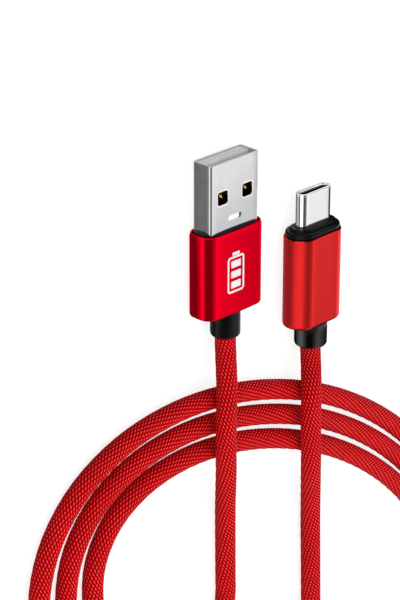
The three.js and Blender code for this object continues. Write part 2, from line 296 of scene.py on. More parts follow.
DRAWN_GRAIN = {"satin_shell": 0.12, "contact_gold": 0.1}  # its scale along the plug, if not 1
RED_GLINT = (1.0, 0.35, 0.45)  # of red metal at a glancing angle
MORE_INPUTS = {
    "red_satin_metal": {"Specular_Tint": RED_GLINT},
    "red_gloss_metal": {"Specular_Tint": RED_GLINT, "Coat_Weight": 0.35, "Coat_Roughness": 0.12},
    "black_plastic": {"Specular_IOR_Level": 0.13},
    "grey_plastic": {"Specular_IOR_Level": 1.0},
    "black_rubber": {"Specular_IOR_Level": 0.13},
    "gloss_rubber": {"Specular_IOR_Level": 0.5},
}


def metal(name, colour, roughness, grain, grain_depth):
    """A metal with fine surface grain, and a slow change in its gloss."""
    nodes = Surface(name)
    gloss = nodes.noise(0.0012, detail=4.0)
    stretch = (1.0, DRAWN_GRAIN.get(name, 1.0), 1.0)
    nodes.set(
        Base_Color=nodes.varied(colour, 0.004, 0.03),
        Metallic=1.0,
        Roughness=nodes.spread(gloss, roughness * 0.88, roughness * 1.12),
        Normal=nodes.bump(nodes.noise(grain, stretch, detail=2.0), grain_depth),
    )
    return nodes


def plastic(name, colour, roughness, grain, grain_depth):
    """A moulded plastic with spark-eroded grain."""
    nodes = Surface(name)
    gloss = nodes.noise(0.0008)
    nodes.set(
        Base_Color=nodes.varied(colour, 0.003, 0.1),
        Roughness=nodes.spread(gloss, roughness * 0.85, roughness * 1.15),
        Normal=nodes.bump(nodes.noise(grain), grain_depth),
    )
    return nodes


def make_materials():
    """One for each of the record's slots, and burnished_edge and gloss_rubber besides."""
    made = {name: metal(name, *values) for name, values in METALS.items()}
    made.update({name: plastic(name, *values) for name, values in PLASTICS.items()})
    for name, inputs in MORE_INPUTS.items():
        made[name].set(**inputs)
    surfaces = {name: nodes.material for name, nodes in made.items()}
    surfaces["red_braid"] = braid_material()
    return surfaces


# ------------------------------------------------------------------ mesh helpers

FLAT_STEPS = 6  # spans that each straight side of a section is split into
MERGE_DISTANCE = 0.003  # of points that are taken as one
SHARP_ANGLE = math.radians(35)  # from which an edge is shaded as an edge
BEVEL_ANGLE = math.radians(40)  # from which a bevel rounds an edge off
LEAST_CORNER = 0.02
CORNER_SIDES = ((1, 1), (-1, 1), (-1, -1), (1, -1))  # in the order that the angles go


def skin_faces(rows, size, endless=False):
    """Faces of a skin over rows of size points each, which go round it.

    An endless skin goes on from its last row to its first. Any other is filled at both ends.
    """
    faces = []
    for row in range(rows if endless else rows - 1):
        after = (row + 1) % rows
        for i in range(size):
            j = (i + 1) % size
            faces.append((row * size + i, row * size + j, after * size + j, after * size + i))
    if not endless:
        faces.append(tuple(range(size))[::-1])
        faces.append(tuple(range((rows - 1) * size, rows * size)))
    return faces


def skin_mesh(rows, endless=False):
    """Points and faces of a skin over rows of points."""
    verts = [point for row in rows for point in row]
    return verts, skin_faces(len(rows), len(rows[0]), endless)


def prism_mesh(outline, low, high):
    """A solid with one outline in the X-Y plane, from z low to z high."""
    return skin_mesh([[(x, y, z) for x, y in outline] for z in (low, high)])


def bent_plate(path, start, end, thickness):
    """Rows of points of a plate, as (along, across, up), for a path of (along, up).

    The plate reaches start to either side where its path begins, and end where that ends.
    """
    rows = []
    for index, (along, up) in enumerate(path):
        reach = start + (end - start) * index / (len(path) - 1)
        corners = ((-reach, 0), (reach, 0), (reach, thickness), (-reach, thickness))
        rows.append([(along, across, up + lift) for across, lift in corners])
    return rows


def add_mesh(name, verts, faces, slot, surface=None):
    """A new piece of the object, from points in millimetres.

    surface is its material, where that isn't the slot's own.
    """
    mesh = bpy.data.meshes.new(name)
    mesh.from_pydata([Vector(v) * MM for v in verts], [], faces)
    work = bmesh.new()
    work.from_mesh(mesh)
    bmesh.ops.remove_doubles(work, verts=work.verts, dist=MERGE_DISTANCE * MM)
    bmesh.ops.recalc_face_normals(work, faces=work.faces)
    work.to_mesh(mesh)
    work.free()
    mesh.shade_smooth()
    mesh.set_sharp_from_angle(angle=SHARP_ANGLE)
    mesh.materials.append(materials[surface or slot])
    piece = link_object(name, mesh)
    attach(piece, BODY)
    return piece


def rounded_outline(place, width, length, corner, steps=6):
    """Points of a rounded rectangle in a plane, whose middle is place."""
    points = []
    for index, sides in enumerate(CORNER_SIDES):
        for step in range(steps + 1):
            angle = (index + step / steps) * math.pi / 2
            points.append((
                place[0] + sides[0] * (width / 2 - corner) + corner * math.cos(angle),
                place[1] + sides[1] * (length / 2 - corner) + corner * math.sin(angle),
            ))
    return points


def split_sides(points, steps):
    """A rounded rectangle's outline with more points along its four straight sides."""
    split = []
    for index, point in enumerate(points):
        split.append(point)
        if (index + 1) % (steps + 1) == 0:
            after = points[(index + 1) % len(points)]
            for step in range(1, FLAT_STEPS):
                share = step / FLAT_STEPS
                split.append(tuple(point[k] + (after[k] - point[k]) * share for k in (0, 1)))
    return split


def ring(section, steps, place, crown):
    """The points of a rounded rectangle across the plug's axis.

    section is (y, width, height, corner). crown is how far the narrow and the wide faces
    fall back at the rectangle's corners, where they are slightly domed.
    """
    y, width, height, corner = section
    domed = []
    for x, z in split_sides(rounded_outline((0.0, 0.0), width, height, corner, steps), steps):
        back_x = crown[0] * (2 * z / height) ** 2
        back_z = crown[1] * (2 * x / width) ** 2
        domed.append((
            place[0] + x - math.copysign(back_x, x) * min(1.0, abs(2 * x / width)),
            place[1] + y,
            place[2] + z - math.copysign(back_z, z) * min(1.0, abs(2 * z / height)),
        ))
    return domed


def sleeve(name, node, place, sections, slot, steps=14, crown=(0.0, 0.0), surface=None):
    """A piece that replaces a hollow CAD node, which goes along its place's Y axis.

    Its skin runs through sections that go round the wall of the piece and back.
    """
    rings = [ring(section, steps, place, crown) for section in sections]
    piece = add_mesh(name, *skin_mesh(rings, endless=True), slot, surface)
    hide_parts(node)
    return piece


def inset(section, amount):
    """The same section with every side moved in by amount."""
    y, width, height, corner = section
    return (y, width - 2 * amount, height - 2 * amount, max(corner - amount, LEAST_CORNER))


def fillet(section, radius, outward_first, steps=5):
    """Sections that round an outer edge off, where the skin turns from a side to an end.

    section is the sharp edge. outward_first is True where the skin comes up the side, and
    the sign of radius says which way the end faces along Y.
    """
    rounded = []
    for step in range(steps + 1):
        angle = step / steps * math.pi / 2
        if not outward_first:
            angle = math.pi / 2 - angle
        back = abs(radius) * (1 - math.sin(angle))
        into = abs(radius) * (1 - math.cos(angle))
        y = section[0] - math.copysign(back, radius)
        rounded.append(inset((y, *section[1:]), into))
    return rounded


def circle(y, radius):
    """A round section. Its corners are a hair short of the radius, so its sides have a length."""
    return (y, 2 * radius, 2 * radius, radius - 1e-4)


# ------------------------------------------------------------------ cord


def coil_point(turns):
    """A point of the coil, on an ellipse that grows and drifts as it turns."""
    angle = math.pi - 2 * math.pi * turns
    along = (COIL_SEMI_AXES[0] + COIL_PITCH * turns) * math.cos(angle)
    across = (COIL_SEMI_AXES[1] + COIL_PITCH * turns) * math.sin(angle)
    cos, sin = math.cos(COIL_TILT), math.sin(COIL_TILT)
    x = COIL_CENTRE[0] + COIL_DRIFT[0] * turns + along * cos - across * sin
    y = COIL_CENTRE[1] + COIL_DRIFT[1] * turns + along * sin + across * cos
    return (x, y, CORD_REST_HEIGHT)


def smooth_curve(points, per_span=16):
    """Centripetal Catmull-Rom curve through points."""
    points = np.array(points, dtype=float)
    first = 2 * points[0] - points[1]
    last = 2 * points[-1] - points[-2]
    padded = np.vstack([first, points, last])
    fractions = np.arange(per_span)[:, None] / per_span
    parts = []
    for p0, p1, p2, p3 in zip(padded[:-3], padded[1:-2], padded[2:-1], padded[3:]):
        steps = (p1 - p0, p2 - p1, p3 - p2)
        gap0, gap1, gap2 = (np.sqrt(np.linalg.norm(step)) for step in steps)
        tangent1 = ((p1 - p0) / gap0 - (p2 - p0) / (gap0 + gap1) + (p2 - p1) / gap1) * gap1
        tangent2 = ((p2 - p1) / gap1 - (p3 - p1) / (gap1 + gap2) + (p3 - p2) / gap2) * gap1
        square = -3 * p1 + 3 * p2 - 2 * tangent1 - tangent2
        cube = 2 * p1 - 2 * p2 + tangent1 + tangent2
        parts.append(p1 + tangent1 * fractions + square * fractions**2 + cube * fractions**3)
    parts.append(padded[-2:-1])
    return np.vstack(parts)


def even_points(line, spacing):
    """Points spaced evenly along the line, and the line's length."""
    steps = np.linalg.norm(np.diff(line, axis=0), axis=1)
    lengths = np.concatenate([[0], np.cumsum(steps)])
    count = round(lengths[-1] / spacing) + 1
    stations = np.linspace(0, lengths[-1], count)
    points = [np.interp(stations, lengths, line[:, k]) for k in range(3)]
    return np.stack(points, axis=1), lengths[-1]


def cord_centreline():
    """The whole route from plug to plug, with each end tucked into its strain relief."""
    start, end = ((x, y + CORD_TUCK, z) for x, y, z in (LEAD_A_ROUTE[0], LEAD_C_ROUTE[0]))
    turns = COIL_LAST_TURN - COIL_FIRST_TURN
    count = round(turns * COIL_POINTS_PER_TURN)
    coil = [coil_point(COIL_FIRST_TURN + turns * i / count) for i in range(count + 1)]
    return smooth_curve([start, *LEAD_A_ROUTE, *coil, *reversed(LEAD_C_ROUTE), end])


def carried_frames(line):
    """Unit vectors across the line that turn with it and never spin round it."""
    tangents = np.gradient(line, axis=0)
    tangents /= np.linalg.norm(tangents, axis=1)[:, None]
    side = np.cross(tangents[0], (0, 0, 1))
    side /= np.linalg.norm(side)
    sides = []
    for tangent in tangents:
        side = side - tangent * side.dot(tangent)
        side /= np.linalg.norm(side)
        sides.append(side)
    sides = np.array(sides)
    return sides, np.cross(tangents, sides)


def make_cord():
    """One woven tube. Its points stand proud and sink in by turns, which makes the floats."""
    line, length = even_points(cord_centreline(), ROW_SPACING)
    sides, ups = carried_frames(line)
    rows, around = len(line), 2 * STRANDS
    row_index, round_index = np.meshgrid(np.arange(rows), np.arange(around), indexing="ij")
    angles = (round_index + LAY_TWIST * row_index) * 2 * math.pi / around
    height = np.where((row_index + round_index) % 2 == 0, FLOAT_HEIGHT, -FLOAT_HEIGHT)
    radius = CORD_DIAMETER / 2 - FLOAT_HEIGHT + height
    verts = (
        line[:, None]
        + sides[:, None] * (radius * np.cos(angles))[..., None]
        + ups[:, None] * (radius * np.sin(angles))[..., None]
    )
    weave = []
    for row in range(rows - 1):
        for i in range(around):
            corners = ((row, i), (row, i + 1), (row + 1, i + 1), (row + 1, i))
            weave.extend(((b + a) / 2, (b - a) / 2) for a, b in corners)
    weave.extend([(0.0, 0.0)] * (2 * around))  # of the two end faces
    mesh = bpy.data.meshes.new("braided_cord")
    mesh.from_pydata((verts * MM).reshape(-1, 3).tolist(), [], skin_faces(rows, around))
    layer = mesh.uv_layers.new(name="weave")
    layer.data.foreach_set("uv", np.array(weave, dtype=np.float32).ravel())
    mesh.shade_smooth()
    mesh.materials.append(materials["red_braid"])
    cord = link_object("braided_cord", mesh)
    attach(cord, BODY)
    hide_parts("cable_lead_a", "cable_lead_c", "cable_coil")


# ------------------------------------------------------------------ the plugs' places


def plug_place(housing):
    """The middle of a housing's rear face, in millimetres, from the frame."""
    low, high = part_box(housing)
    return ((low[0] + high[0]) / 2 / MM, low[1] / MM, (low[2] + high[2]) / 2 / MM)


# ------------------------------------------------------------------ pieces both plugs have

REAR_WALL = 1.0  # of a housing, where the cord goes in
NECK_RADIUS = 2.45  # of the hole in that wall
NECK_CHAMFER = 0.15
MOUTH_BACK = 0.1  # of a housing's inside wall from its front
EDGE_SPAN = 0.02  # just behind a chamfer, so that the shading stays flat up to it
FRONT_RIM = [(0.12, 0.0), (0.03, 0.04), (0.0, 0.14)]  # back from the front, and in past a chamfer

RELIEF_BORE_GAP = 0.04  # round the cord
RELIEF_BORE_DEPTH = 1.6  # of the part that the cord's end fills
RELIEF_END_ROUND = 0.75
RELIEF_CHAMFER = 0.12
RELIEF_NECK_RADIUS = 2.2  # where it passes through the housing's rear wall
RELIEF_SHOULDER_RADIUS = 2.75  # behind that wall
RELIEF_SHOULDER_ENDS = (1.3, 2.4)
WIRE_BORE_RADIUS = 1.5  # from there on, for the wires


def make_housing(name, node, place, slot, size, mouth, front_chamfer, rear_round, crown=(0.0, 0.0)):
    """Hollow metal sleeve: inside wall, neck hole, rear face, outside, chamfered front rim."""
    *outline, length = size
    chamfer_back, chamfer_in = front_chamfer
    sections = [
        (length - MOUTH_BACK, *mouth),
        (REAR_WALL, *mouth),
        circle(REAR_WALL, NECK_RADIUS),
        circle(NECK_CHAMFER, NECK_RADIUS),
        circle(0.0, NECK_RADIUS + NECK_CHAMFER),
        *fillet((0.0, *outline), -rear_round, outward_first=False, steps=7),
        (length - chamfer_back - EDGE_SPAN, *outline),
        (length - chamfer_back, *outline),
        *[inset((length - back, *outline), chamfer_in + into) for back, into in FRONT_RIM],
    ]
    sleeve(name, node, place, sections, slot, crown=crown)


def make_strain_relief(name, node, place, radius, length, surface=None):
    """Lathed rubber sleeve: bore, rounded rear end, side, shoulder inside the housing, bore."""
    bore = CORD_DIAMETER / 2 + RELIEF_BORE_GAP
    bore_end = RELIEF_BORE_DEPTH - length
    shoulder_rear, shoulder_front = RELIEF_SHOULDER_ENDS
    sections = [
        circle(bore_end, bore),
        circle(RELIEF_CHAMFER - length, bore),
        circle(-length, bore + RELIEF_CHAMFER),
        *rounded_end(-length, radius, RELIEF_END_ROUND),
        circle(-RELIEF_CHAMFER, radius),
        circle(0.0, radius - RELIEF_CHAMFER),
        circle(0.0, RELIEF_NECK_RADIUS),
        circle(shoulder_rear, RELIEF_NECK_RADIUS),
        circle(shoulder_rear, RELIEF_SHOULDER_RADIUS),
        circle(shoulder_front, RELIEF_SHOULDER_RADIUS),
        circle(shoulder_front, WIRE_BORE_RADIUS),
        circle(bore_end, WIRE_BORE_RADIUS),
    ]
    sleeve(name, node, place, sections, "black_rubber", surface=surface)


def rounded_end(y, radius, round_off, steps=7):
    """Circles of a lathed piece, from its end face at y out to its side."""
    circles = []
    for step in range(steps + 1):
        angle = step / steps * math.pi / 2
        along = y + round_off * (1 - math.cos(angle))
        circles.append(circle(along, radius - round_off * (1 - math.sin(angle))))
    return circles


def grown(outline, amount):
    """(width, height, corner) with every side moved out by amount, or in if it is negative."""
    width, height, corner = outline
    return (width + 2 * amount, height + 2 * amount, corner + amount)


def bezel_mouth(front, hole, flare):
    """Sections from a bezel's front rim back into the hole that its shell passes through."""
    return [(front - 0.02, *grown(hole, flare)), (front - 0.12, *hole)]


def bevelled_copy(name, node, slot, width):
    """The CAD node's own shape, with its edges softened by width."""
    piece = link_object(name, bpy.data.objects[node].data.copy())
    piece.data.materials.clear()
    piece.data.materials.append(materials[slot])
    add_bevel(piece, width, 2)
    apply_modifiers(piece)
    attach(piece, BODY)
    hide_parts(node)


def add_bevel(piece, width, segments):
    bevel = piece.modifiers.new("bevel", "BEVEL")
    bevel.width = width * MM
    bevel.segments = segments
    bevel.limit_method = "ANGLE"
    bevel.angle_limit = BEVEL_ANGLE
    bevel.harden_normals = True


def apply_modifiers(piece):
    shaped = piece.evaluated_get(bpy.context.evaluated_depsgraph_get())
    mesh = bpy.data.meshes.new_from_object(shaped)
    piece.modifiers.clear()
    piece.data = mesh


def cut_away(piece, openings, bevel_width):
    """Cuts holes through a piece, then softens every hard edge that it is left with.

    Each opening is (outline, low, high), a prism along Z.
    """
    tools = []
    for opening in openings:
        verts, faces = prism_mesh(*opening)
        mesh = bpy.data.meshes.new("tool")
        mesh.from_pydata([Vector(v) * MM for v in verts], [], faces)
        tools.append(link_object("tool", mesh))
        boolean = piece.modifiers.new("cut", "BOOLEAN")
        boolean.operation = "DIFFERENCE"
        boolean.solver = "EXACT"
        boolean.object = tools[-1]
    add_bevel(piece, bevel_width, 3)
    apply_modifiers(piece)
    for tool in tools:
        mesh = tool.data
        bpy.data.objects.remove(tool)
        bpy.data.meshes.remove(mesh)


# ------------------------------------------------------------------ USB-A plug

# A housing's size is (width, height, corner, length), and any other outline leaves out the length.
A_HOUSING = (14.8, 6.6, 2.0, 16.0)
A_HOUSING_MOUTH = (14.0, 5.8, 1.7)
A_FRONT_CHAMFER = (0.65, 0.15)  # back and in
A_REAR_ROUND = 0.45
A_CROWN = (0.45, 0.22)
A_RELIEF = (2.75, 5.3)  # radius and length
A_SHELL = (12.0, 4.5, 0.5)
A_SHELL_WALL = 0.3
A_SHELL_REAR = 7.0
A_SHELL_TIP = 29.1
A_SHELL_EDGE = 0.1  # width of the bevel along its edges
A_WINDOW = (2.5, 2.5, 0.45)
A_WINDOW_ACROSS = 3.07
A_WINDOW_FROM_TIP = 6.5
# Each turn of a window's rim: how much wider, how much rounder, and how far over the face.
A_WINDOW_RIM = [(0.5, 0.24, -0.02), (0.5, 0.24, 0.015), (0.1, 0.05, 0.015), (0.1, 0.05, -0.08)]
A_SLOT = (3.3, 1.0, 0.49)
A_SLOT_FROM_TIP = 10.8
# Across and up, from the middle of the slot's top.
A_TAB = [(-1.75, -0.1), (0.1, -0.12), (0.85, -0.16), (1.3, -0.24), (1.42, -0.5)]
A_TAB_HALF_LENGTH = 0.58
A_TAB_THICKNESS = 0.12
# Forward and up, from the middle of a window's top.
A_SPRING = [
    (1.6, -0.42), (1.25, -0.45), (0.85, -0.62), (0.5, -0.9), (0.2, -1.0), (-0.05, -0.88),
    (-0.15, -0.65),
]
A_SPRING_HALF_WIDTHS = (0.42, 0.21)  # where it begins and where it ends
A_SPRING_THICKNESS = 0.1
A_SPRING_ACROSS = 0.3  # from the window's middle
A_NOSE = (5.66, -1.92, 0.1)  # half its width, and its bottom and top from the plug's axis
A_NOSE_REACH = 0.3  # of its front past the CAD solid's
A_NOSE_EDGE = 0.06
A_BEZEL = (13.7, 5.5, 1.9)
A_BEZEL_REAR = 13.0
A_BEZEL_FRONT = 16.4
A_BEZEL_GAP = 0.06  # round the shell
# CAD nodes whose own shape stays, with their slots and how far their edges are softened.
A_SOFTENED = {
    # Painted shade: the block behind the pale nose is black, so the shell looks dark behind its
    # windows.
    "contact_block": ("black_plastic", 0.1),
    "contact_vbus": ("contact_gold", 0.06),
    "contact_data_minus": ("contact_gold", 0.06),
    "contact_data_plus": ("contact_gold", 0.06),
    "contact_ground": ("contact_gold", 0.06),
}


def make_usb_a():
    place = plug_place("usb_a_housing")
    make_housing(
        "a_housing", "usb_a_housing", place, "red_satin_metal", A_HOUSING, A_HOUSING_MOUTH,
        A_FRONT_CHAMFER, A_REAR_ROUND, A_CROWN,
    )
    make_a_bezel(place)
    make_a_shell(place)
    make_strain_relief("a_strain_relief", "usb_a_strain_relief", place, *A_RELIEF)
    make_a_tongue_nose()
    for name, (slot, edge) in A_SOFTENED.items():
        bevelled_copy(f"a_{name}", f"usb_a_{name}", slot, edge)
    make_mark(place)


def make_a_bezel(place):
    hole = grown(A_SHELL, A_BEZEL_GAP)
    sections = [
        (A_BEZEL_REAR, *hole),
        (A_BEZEL_REAR, *A_BEZEL),
        (A_BEZEL_FRONT - 0.45, *A_BEZEL),
        *fillet((A_BEZEL_FRONT - 0.12, *A_BEZEL), 0.25, outward_first=True),
        inset((A_BEZEL_FRONT, *A_BEZEL), 0.36),
        *bezel_mouth(A_BEZEL_FRONT, hole, 0.05),
    ]
    sleeve("a_bezel", "usb_a_bezel", place, sections, "black_plastic", steps=12, crown=A_CROWN)


def make_a_shell(place):
    """The bright shell with its windows and slot, and what shows in them."""
    inside = grown(A_SHELL, -A_SHELL_WALL)
    sections = [
        (A_SHELL_REAR, *inside),
        (A_SHELL_REAR, *A_SHELL),
        (A_SHELL_TIP, *A_SHELL),
        (A_SHELL_TIP, *inside),
    ]
    shell = sleeve("a_shell", "usb_a_shell", place, sections, "satin_shell", steps=8)
    across, rear, height = place
    top = height + A_SHELL[1] / 2
    slot = (across, rear + A_SHELL_TIP - A_SLOT_FROM_TIP, top)
    window_y = rear + A_SHELL_TIP - A_WINDOW_FROM_TIP
    windows = {
        "left": (across - A_WINDOW_ACROSS, window_y, top),
        "right": (across + A_WINDOW_ACROSS, window_y, top),
    }
    through = A_SHELL[1]  # far enough to reach past both of the shell's wide faces
    openings = [
        (rounded_outline(window, *A_WINDOW), height - through, height + through)
        for window in windows.values()
    ]
    openings.append((rounded_outline(slot, *A_SLOT), top - 1, top + 1))
    cut_away(shell, openings, A_SHELL_EDGE)
    make_a_tab(slot)
    for side, window in windows.items():
        make_a_spring(f"a_spring_{side}", window)
        make_a_window_rim(f"a_window_rim_{side}", window)


def make_a_tab(slot):
    """The pale stop that shows in the slot."""
    plate = bent_plate(A_TAB, A_TAB_HALF_LENGTH, A_TAB_HALF_LENGTH, -A_TAB_THICKNESS)
    rows = [[(slot[0] + x, slot[1] + y, slot[2] + z) for x, y, z in row] for row in plate]
    add_mesh("a_stop_tab", *skin_mesh(rows), "grey_plastic")


def make_a_spring(name, window):
    """A gold leaf that hangs from the window's front edge and curls back up at its end."""
    plate = bent_plate(A_SPRING, *A_SPRING_HALF_WIDTHS, A_SPRING_THICKNESS)
    middle = window[0] + A_SPRING_ACROSS
    rows = [[(middle + x, window[1] + y, window[2] + z) for y, x, z in row] for row in plate]
    add_mesh(name, *skin_mesh(rows), "contact_gold")


def make_a_window_rim(name, window):
    """The edge that punching leaves round a window, a hair above the face, in a bright metal that
    paints a highlight all round it.
    """
    width, length, corner = A_WINDOW
    rows = []
    for wider, rounder, lift in A_WINDOW_RIM:
        outline = rounded_outline(window, width + wider, length + wider, corner + rounder)
        rows.append([(x, y, window[2] + lift) for x, y in outline])
    add_mesh(name, *skin_mesh(rows, endless=True), "polished_shell", "burnished_edge")


def make_a_tongue_nose():
    """The pale plastic end of the tongue, as wide inside as the shell."""
    low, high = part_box("usb_a_tongue_nose")
    middle = (low[0] + high[0]) / 2 / MM
    rear, front = low[1] / MM, high[1] / MM + A_NOSE_REACH
    half_width, bottom, top = A_NOSE
    left, right = middle - half_width, middle + half_width
    outline = [(left, rear), (right, rear), (right, front), (left, front)]
    solid = prism_mesh(outline, AXIS_HEIGHT + bottom, AXIS_HEIGHT + top)
    nose = add_mesh("a_tongue_nose", *solid, "grey_plastic")
    cut_away(nose, [], A_NOSE_EDGE)
    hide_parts("usb_a_tongue_nose")


# ------------------------------------------------------------------ printed mark

MARK_WIDTH = 4.2
MARK_REAR = 4.4
MARK_FRONT = 11.4
MARK_ACROSS = -0.75
MARK_LINE = 0.4
MARK_CORNERS = (0.7, 0.3)  # of the frame's outside and inside
MARK_INK = 0.03  # its thickness on either side of its middle
NUB = (1.8, 0.6, 0.15)
NUB_AHEAD = 0.42  # of its middle from the frame
BARS = 3
BAR_LENGTH = 1.3
BAR_GAP = 0.65
BAR_MARGIN = 0.5
BAR_CORNER = 0.16


def make_mark(place):
    """A battery sign in white ink: a frame with a nub, and three bars."""
    across = place[0] + MARK_ACROSS
    rear = place[1]
    surface = place[2] + A_HOUSING[1] / 2
    low, high = surface - 1.5 * MARK_INK, surface + 0.5 * MARK_INK
    length = MARK_FRONT - MARK_REAR
    centre = (across, rear + MARK_REAR + length / 2)
    outer_corner, inner_corner = MARK_CORNERS
    outer = rounded_outline(centre, MARK_WIDTH, length, outer_corner)
    inner = rounded_outline(
        centre, MARK_WIDTH - 2 * MARK_LINE, length - 2 * MARK_LINE, inner_corner,
    )
    levels = ((outer, low), (outer, high), (inner, high), (inner, low))
    rows = [[(x, y, z) for x, y in outline] for outline, z in levels]
    verts, faces = skin_mesh(rows, endless=True)
    nub = rounded_outline((across, rear + MARK_FRONT + NUB_AHEAD), *NUB)
    nub_verts, nub_faces = prism_mesh(nub, low, high)
    faces += [tuple(index + len(verts) for index in face) for face in nub_faces]
    ink("mark_outline", verts + nub_verts, faces)
    inside = MARK_LINE + BAR_MARGIN
    for index in range(BARS):
        start = rear + MARK_REAR + inside + index * (BAR_LENGTH + BAR_GAP)
        middle = (across, start + BAR_LENGTH / 2)
        bar = rounded_outline(middle, MARK_WIDTH - 2 * inside, BAR_LENGTH, BAR_CORNER)
        ink(f"mark_bar_{index + 1}", *prism_mesh(bar, low, high))


def ink(name, verts, faces):
    piece = add_mesh(name, verts, faces, "white_print")
    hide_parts(f"usb_a_{name}")


# ------------------------------------------------------------------ USB-C plug

C_HOUSING = (12.6, 6.6, 3.299, 18.0)
C_HOUSING_MOUTH = (11.7, 5.7, 2.849)
C_FRONT_CHAMFER = (0.16, 0.03)
C_REAR_ROUND = 0.65
C_RELIEF = (3.1, 4.9)
C_SHELL = (8.25, 2.4, 1.199)
C_SHELL_WALL = 0.3
C_SHELL_REAR = 8.5
C_SHELL_TIP = 26.3
C_SHELL_TIP_ROUND = 0.15
# A fine groove behind the tip: back from it, and how deep.
C_SHELL_GROOVE = [(0.42, 0.0), (0.38, 0.035), (0.34, 0.035), (0.30, 0.0)]
C_BEZEL_ROOT = (11.3, 5.3, 2.649)
C_BEZEL_LIP = (12.0, 6.0, 2.999)
C_BEZEL_STEP = (10.4, 4.4, 2.199)
C_BEZEL_REAR = 15.0
C_LIP_REAR = 18.05
C_LIP_FRONT = 19.1
C_STEP_FRONT = 19.7
C_BEZEL_GAP = 0.05
C_SOFTENED = {
    "insulator": ("black_plastic", 0.08),
    "contacts_upper": ("contact_gold", 0.03),
    "contacts_lower": ("contact_gold", 0.03),
}


def make_usb_c():
    place = plug_place("usb_c_housing")
    make_housing(
        "c_housing", "usb_c_housing", place, "red_gloss_metal", C_HOUSING, C_HOUSING_MOUTH,
        C_FRONT_CHAMFER, C_REAR_ROUND,
    )
    make_c_bezel(place)
    make_c_shell(place)
    make_strain_relief("c_strain_relief", "usb_c_strain_relief", place, *C_RELIEF, "gloss_rubber")
    for name, (slot, edge) in C_SOFTENED.items():
        bevelled_copy(f"c_{name}", f"usb_c_{name}", slot, edge)


def make_c_bezel(place):
    hole = grown(C_SHELL, C_BEZEL_GAP)
    sections = [
        (C_BEZEL_REAR, *hole),
        (C_BEZEL_REAR, *C_BEZEL_ROOT),
        (C_LIP_REAR, *C_BEZEL_ROOT),
        *fillet((C_LIP_REAR, *C_BEZEL_LIP), -0.15, outward_first=False, steps=3),
        *fillet((C_LIP_FRONT, *C_BEZEL_LIP), 0.4, outward_first=True, steps=7),
        inset((C_LIP_FRONT, *C_BEZEL_STEP), -0.12),
        (C_LIP_FRONT + 0.12, *C_BEZEL_STEP),
        *fillet((C_STEP_FRONT, *C_BEZEL_STEP), 0.25, outward_first=True),
        *bezel_mouth(C_STEP_FRONT, hole, 0.06),
    ]
    sleeve("c_bezel", "usb_c_bezel", place, sections, "black_plastic", steps=16)


def make_c_shell(place):
    tip = (C_SHELL_TIP, *C_SHELL)
    sections = [
        (C_SHELL_REAR, *grown(C_SHELL, -C_SHELL_WALL)),
        (C_SHELL_REAR, *C_SHELL),
        *[inset((C_SHELL_TIP - back, *C_SHELL), depth) for back, depth in C_SHELL_GROOVE],
        *fillet(tip, C_SHELL_TIP_ROUND, outward_first=True),
        inset(tip, C_SHELL_WALL - 0.06),
        inset((C_SHELL_TIP - 0.1, *C_SHELL), C_SHELL_WALL),
    ]
    sleeve("c_shell", "usb_c_shell", place, sections, "polished_shell", steps=16)


# ------------------------------------------------------------------ CAD nodes that stay

KEPT_NODES = {
    "usb_a_inner_mould": "black_plastic",
    "usb_a_crimp_ring": "crimp_brass",
    "usb_c_inner_mould": "black_plastic",
    "usb_c_crimp_ring": "crimp_brass",
    "usb_c_latch_plate": "polished_shell",
    "usb_c_paddle_card": "circuit_board",
    "usb_c_resistor": "black_plastic",
}
WIRE_COLOURS = ("red", "black", "white", "green")


def dress_kept_nodes():
    wires = {
        f"{plug}_wire_{colour}": f"wire_{colour}"
        for plug in ("usb_a", "usb_c")
        for colour in WIRE_COLOURS
    }
    for node, slot in {**KEPT_NODES, **wires}.items():
        mesh_materials = bpy.data.objects[node].data.materials
        mesh_materials.clear()
        mesh_materials.append(materials[slot])


# ------------------------------------------------------------------ studio

FLOOR_HALF_WIDTH = 3.0  # metres


def make_floor():
    mesh = bpy.data.meshes.new("floor")
    corners = [(x * FLOOR_HALF_WIDTH, y * FLOOR_HALF_WIDTH, 0.0) for x, y in CORNER_SIDES]
    mesh.from_pydata(corners, [], [(0, 1, 2, 3)])
    nodes = Surface("pale_floor")
    nodes.set(
        Base_Color=(0.35, 0.35, 0.35),
        Roughness=0.9,
        Specular_IOR_Level=0.0,
        Emission_Color=(1.0, 1.0, 1.0),
        Emission_Strength=0.8,
    )
    mesh.materials.append(nodes.material)
    floor = link_object("floor", mesh)
    floor.visible_glossy = False
    floor.visible_diffuse = False


# The studio as mirrors see it, in bands that run along the plugs. Each stop is a turn round
# the Y axis in degrees, 0 straight up and 90 toward +X, and the brightness there.
STUDIO_BANDS = [
    (-180, 0.36), (-150, 0.26), (-134, 0.12), (-128, 0.45), (-119, 1.5), (-99, 1.5), (-81, 0.45),
    (-66, 0.19), (-28, 0.19), (-8, 0.45), (8, 0.95), (20, 1.22), (30, 1.28), (38, 1.2),
    (45, 0.94), (52, 0.72), (60, 0.6), (78, 0.66), (92, 1.2), (104, 1.2), (116, 0.06),
    (145, 0.06), (180, 0.36),
]
FRONT_GLOW = (1.0, 1.0, 1.0)  # the studio ahead of the plugs
FRONT_GLOW_FADE = (0.15, 0.45)  # Y of the directions where the bands end and that glow is full
KEY_DIRECTION = (-0.1, -0.48, 0.87)  # from which matt surfaces get most of their light
SOFT_LIGHT = 0.68  # of the light on matt surfaces from all round
KEY_LIGHT = 0.66  # added toward the key direction, and taken away opposite it


def banded(nodes, value, stops, unit):
    """Brightness by value, from stops of (place, brightness) with places counted in unit."""
    first, last = stops[0][0], stops[-1][0]
    share = nodes.share(value, first * unit, last * unit)
    return nodes.ramp(share, [((at - first) / (last - first), (v, v, v)) for at, v in stops])


